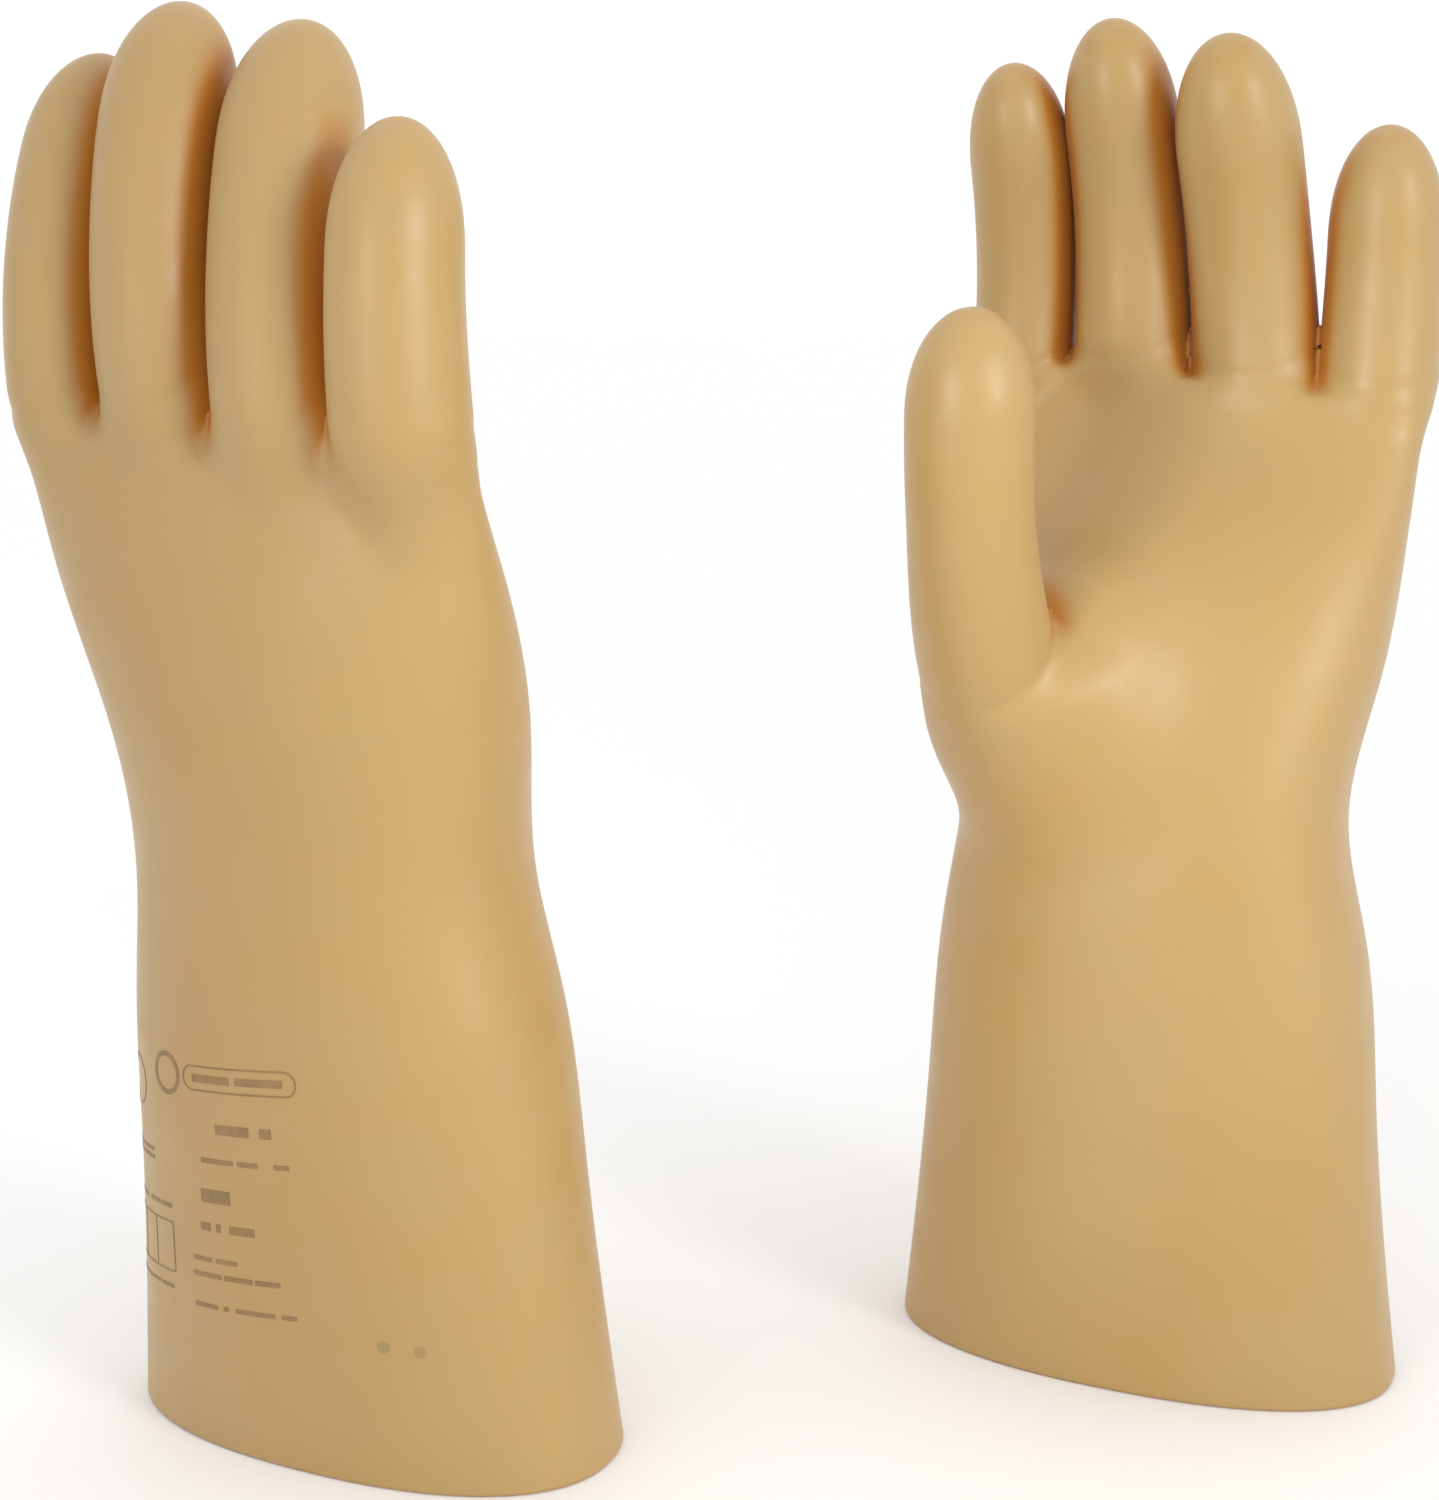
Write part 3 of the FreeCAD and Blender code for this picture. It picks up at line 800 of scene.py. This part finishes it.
def latex():
    """Natural dipped latex: satin and faintly mottled, with painted shade in deeper orange between
    the digits.
    """
    material = bpy.data.materials.new("natural_latex")
    material.use_nodes = True
    tree = material.node_tree
    shader = tree.nodes["Principled BSDF"]
    place = tree.nodes.new("ShaderNodeTexCoord").outputs["Object"]
    painted_shade = tree.nodes.new("ShaderNodeAttribute")
    painted_shade.attribute_name = "painted_shade"

    broad = spread(tree, noise(tree, place, 16.0, 2.0), 0.0, 1.0)
    clouds = spread(tree, noise(tree, place, 48.0, 4.0, 0.6), 0.0, 0.55)
    specks = spread(tree, noise(tree, place, 900.0, 2.0), 0.0, 0.10)
    colour = mix(tree, broad, LATEX_LIGHT, LATEX_WARM)
    colour = mix(tree, clouds, colour, LATEX_GREY)
    colour = mix(tree, specks, colour, LATEX_WARM)
    # Painted shade: the colour turns deep orange-brown where other digits close in.
    colour = mix(tree, painted_shade.outputs["Fac"], colour, LATEX_PAINTED_SHADE)
    tree.links.new(colour, shader.inputs["Base Color"])

    shine = spread(tree, noise(tree, place, 70.0, 3.0), 0.36, 0.48)
    tree.links.new(shine, shader.inputs["Roughness"])
    ripple = bump(tree, noise(tree, place, 55.0, 2.0), 0.0006, 0.25)
    grain = bump(tree, noise(tree, place, 1400.0, 2.0), 0.00004, 0.3, ripple)
    tree.links.new(grain, shader.inputs["Normal"])
    shader.inputs["IOR"].default_value = 1.5
    shader.inputs["Sheen Weight"].default_value = 0.08
    shader.inputs["Sheen Roughness"].default_value = 0.5
    return material


def ink(name, colour):
    """Faded print on the cuff, a little uneven in colour and gloss."""
    material = bpy.data.materials.new(name)
    material.use_nodes = True
    tree = material.node_tree
    shader = tree.nodes["Principled BSDF"]
    place = tree.nodes.new("ShaderNodeTexCoord").outputs["Object"]
    faded = spread(tree, noise(tree, place, 160.0, 3.0), 0.10, 0.45)
    tree.links.new(mix(tree, faded, colour, LATEX_WARM), shader.inputs["Base Color"])
    tree.links.new(spread(tree, noise(tree, place, 300.0, 2.0), 0.42, 0.58),
                   shader.inputs["Roughness"])
    return material


# ---------------------------------------------------------------------------------------------
# Print
# ---------------------------------------------------------------------------------------------

PRINT_THICK = 0.10              # how far the ink stands out of the skin, and how far it reaches in
PRINT_SLOPE = 0.10              # the rows of print climb a little
PRINT_LEFT = 52.0               # the place where a row lies at its own level
BACK_LEVEL = 70.0               # the level at which places along the back are measured
PRINT_BROWN = (0.200, 0.115, 0.045)
PRINT_SPOT = (0.300, 0.215, 0.085)


def cuff_turns():
    """The angle round the cuff for a distance along its back from the thumb's side edge."""
    turn = np.radians(np.linspace(180.0, 360.0, 721))
    edge = cuff_point(turn, np.full(len(turn), BACK_LEVEL))
    steps = np.linalg.norm(np.diff(edge, axis=0), axis=1)
    return np.concatenate([[0], np.cumsum(steps)]), turn


def line(path, width):
    """A strip along a path of (place along the back, level)."""
    path = np.array(path, float)
    ahead = np.gradient(path, axis=0)
    if np.allclose(path[0], path[-1]):
        ahead[0] = ahead[-1] = path[1] - path[-2]
    ahead /= np.linalg.norm(ahead, axis=1)[:, None]
    right = np.stack([ahead[:, 1], -ahead[:, 0]], 1) * width / 2
    return np.stack([path + right, path - right], 1)


def bar(start, end, level, height):
    """A level dash between two places along the back."""
    places = np.linspace(start, end, max(3, int((end - start) / 2) + 2))
    return line([(place, level) for place in places], height)


def rule(place, low, high, width):
    """An upright line at a place along the back."""
    return line([(place, level) for level in np.linspace(low, high, 5)], width)


def round_box(left, right, low, high, corner, width):
    """The outline of a box with round corners; a circle where the corners meet."""
    path = []
    for centre, start in (((right - corner, high - corner), 0),
                          ((left + corner, high - corner), 90),
                          ((left + corner, low + corner), 180),
                          ((right - corner, low + corner), 270)):
        for angle in np.radians(np.linspace(start, start + 90, 9)):
            path.append((centre[0] + corner * math.cos(angle),
                         centre[1] + corner * math.sin(angle)))
    full = []
    for (x0, z0), (x1, z1) in zip(path, path[1:] + path[:1]):
        pieces = max(1, int(math.hypot(x1 - x0, z1 - z0) / 2))
        full += [(x0 + (x1 - x0) * k / pieces, z0 + (z1 - z0) * k / pieces)
                 for k in range(pieces)]
    return line(full + full[:1], width)


def spot(place, level, radius):
    """A filled round spot, as cross-lines from its left to its right."""
    strip = []
    for angle in np.linspace(math.pi, 0, 13):
        half = max(radius * math.sin(angle), 0.05)
        across = place + radius * math.cos(angle)
        strip.append(((across, level - half), (across, level + half)))
    return np.array(strip)


# Rows of plain dashes: level, height, and each dash's two ends along the back.
PRINT_ROWS = (
    (102.6, 2.0, ((57, 70), (72, 87))),
    (89.4, 2.6, ((64, 75), (78.5, 82))),
    (80.7, 1.3, ((58, 69), (70.5, 77), (82, 86.5))),
    (71.0, 3.6, ((57, 67),)),
    (62.4, 2.2, ((56, 59.5), (61.5, 63), (66, 74))),
    (53.2, 1.2, ((52.5, 59), (60.5, 67.5))),
    (48.8, 1.3, ((52, 62), (63, 72), (73, 80.5))),
    (40.1, 1.2, ((52, 60), (62, 63.5), (66, 78), (80, 84.5))),
    (79.8, 1.0, ((19, 27), (28.5, 36))),
    (77.6, 1.0, ((19, 24), (25.5, 36))),
    (65.6, 1.2, ((22, 29), (32, 38), (39, 44))),
    (42.6, 1.0, ((20, 30), (31, 36), (37, 43))),
)


# Outlines: left, right, low, high, corner radius, line width.
PRINT_OUTLINES = (
    (40.8, 51.2, 97.4, 107.8, 5.2, 1.3),        # ring
    (53.5, 91.0, 99.4, 105.8, 3.2, 0.45),       # pill
    (19.0, 33.0, 90.5, 104.5, 7.0, 0.5),        # larger ring
    (17.0, 44.2, 47.0, 61.0, 0.6, 0.45),        # grid
)
# The grid's upright rules: place, low, high, line width.
PRINT_RULES = ((26.0, 47.0, 61.0, 0.4), (35.0, 47.0, 61.0, 0.4))
# Two pale spots: place, level, radius.
PRINT_SPOTS = ((107.1, 34.0, 1.5), (116.1, 32.6, 1.5))


def print_strips():
    """Every brown mark, as strips of cross-lines."""
    strips = [bar(start, end, level, height)
              for level, height, dashes in PRINT_ROWS for start, end in dashes]
    strips += [round_box(*outline) for outline in PRINT_OUTLINES]
    strips += [rule(*upright) for upright in PRINT_RULES]
    return strips


def printed(strips):
    """Thin closed plates on the back of the cuff, one for each strip of cross-lines."""
    girth, turns = cuff_turns()
    points, faces, normals = [], [], []
    start = 0
    for strip in strips:
        flat = strip.reshape(-1, 2)
        level = flat[:, 1] + PRINT_SLOPE * (flat[:, 0] - PRINT_LEFT)
        on = cuff_point(np.interp(flat[:, 0], girth, turns), level)
        out = outward(trunk_distance, on)
        points += [on + out * PRINT_THICK, on - out * PRINT_THICK]
        normals += [out, -out]
        under = len(flat)
        for i in range(0, under - 2, 2):
            a, b, c, d = (start + i + k for k in range(4))
            faces += [(a, c, d, b), (a + under, b + under, d + under, c + under),
                      (a, a + under, c + under, c), (b, d, d + under, b + under)]
        a, b = start, start + 1
        faces.append((a, b, b + under, a + under))
        a, b = start + under - 2, start + under - 1
        faces.append((a, a + under, b + under, b))
        start += 2 * under
    points = np.concatenate(points)
    return points, faces, np.concatenate(normals), np.zeros(len(points))


def build_print(hand, side):
    """The plain marks on the back of a glove's cuff."""
    spots = [spot(*measures) for measures in PRINT_SPOTS]
    for name, strips, colour in (("print", print_strips(), PRINT_BROWN),
                                 ("spots", spots, PRINT_SPOT)):
        piece = place_piece(hand + "_" + name, printed(strips), hand, side,
                            ink(name + "_ink", colour))
        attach(piece, hand + "_gauntlet")


# ---------------------------------------------------------------------------------------------
# Stage, light and camera
# ---------------------------------------------------------------------------------------------

FLOOR_REACH = 6.0
FLOOR_WHITE = 0.95
WORLD_STRENGTH = 1.05


def stage():
    """A plain white floor under an evenly white sky."""
    mesh = bpy.data.meshes.new("floor")
    reach = FLOOR_REACH
    mesh.from_pydata([(-reach, -reach, 0), (reach, -reach, 0), (reach, reach, 0),
                      (-reach, reach, 0)], [], [(0, 1, 2, 3)])
    floor = bpy.data.objects.new("floor", mesh)
    bpy.context.scene.collection.objects.link(floor)
    material = bpy.data.materials.new("floor")
    material.use_nodes = True
    shader = material.node_tree.nodes["Principled BSDF"]
    shader.inputs["Base Color"].default_value = (FLOOR_WHITE, FLOOR_WHITE, FLOOR_WHITE, 1)
    shader.inputs["Roughness"].default_value = 1.0
    shader.inputs["Specular IOR Level"].default_value = 0.0
    mesh.materials.append(material)
    world = bpy.data.worlds.new("studio")
    bpy.context.scene.world = world
    world.use_nodes = True
    background = world.node_tree.nodes["Background"]
    background.inputs["Color"].default_value = (1, 1, 1, 1)
    background.inputs["Strength"].default_value = WORLD_STRENGTH
    bpy.context.scene.view_settings.view_transform = "Standard"


def area_light(name, place, target, size, power, spread_angle):
    """A square soft light that fans out over an angle in degrees."""
    light = bpy.data.lights.new(name, "AREA")
    light.size = size
    light.energy = power
    light.spread = math.radians(spread_angle)
    lamp = bpy.data.objects.new(name, light)
    bpy.context.scene.collection.objects.link(lamp)
    lamp.location = place
    lamp.rotation_euler = (Vector(target) - Vector(place)).to_track_quat("-Z", "Y").to_euler()


# Name, place, what it looks at, size, power, and the angle it fans out over.
LIGHTS = (
    ("right_glove_soft", (1.0, -0.4, 0.5), (-0.12, -0.05, 0.17), 0.4, 0.39, 40),
    ("left_glove_soft", (0.0, -0.7, 0.3), (0.22, 0.1, 0.2), 0.35, 0.165, 30),
)

CAMERA_PLACE = Vector((0.2476, -0.5479, 0.306))
CAMERA_AZIMUTH = math.radians(25.5)
CAMERA_PITCH = math.radians(12.3)
CAMERA_ROLL = math.radians(-0.7)
CAMERA_LENS = 57.0
CAMERA_SENSOR = 36.0


def camera():
    data = bpy.data.cameras.new("camera")
    data.lens = CAMERA_LENS
    data.sensor_width = CAMERA_SENSOR
    body = bpy.data.objects.new("camera", data)
    bpy.context.scene.collection.objects.link(body)
    forward = Vector((-math.sin(CAMERA_AZIMUTH) * math.cos(CAMERA_PITCH),
                      math.cos(CAMERA_AZIMUTH) * math.cos(CAMERA_PITCH),
                      -math.sin(CAMERA_PITCH)))
    level = forward.cross(Vector((0, 0, 1))).normalized()
    up = level.cross(forward)
    right = level * math.cos(CAMERA_ROLL) + up * math.sin(CAMERA_ROLL)
    above = up * math.cos(CAMERA_ROLL) - level * math.sin(CAMERA_ROLL)
    turn = Matrix((right, above, -forward)).transposed()
    body.matrix_world = Matrix.Translation(CAMERA_PLACE) @ turn.to_4x4()
    bpy.context.scene.camera = body


skins = build_skins()
material = latex()
for hand, side in HANDS:
    build_glove(hand, side, skins, material)
build_print(*HANDS[0])
stage()
for light in LIGHTS:
    area_light(*light)
camera()
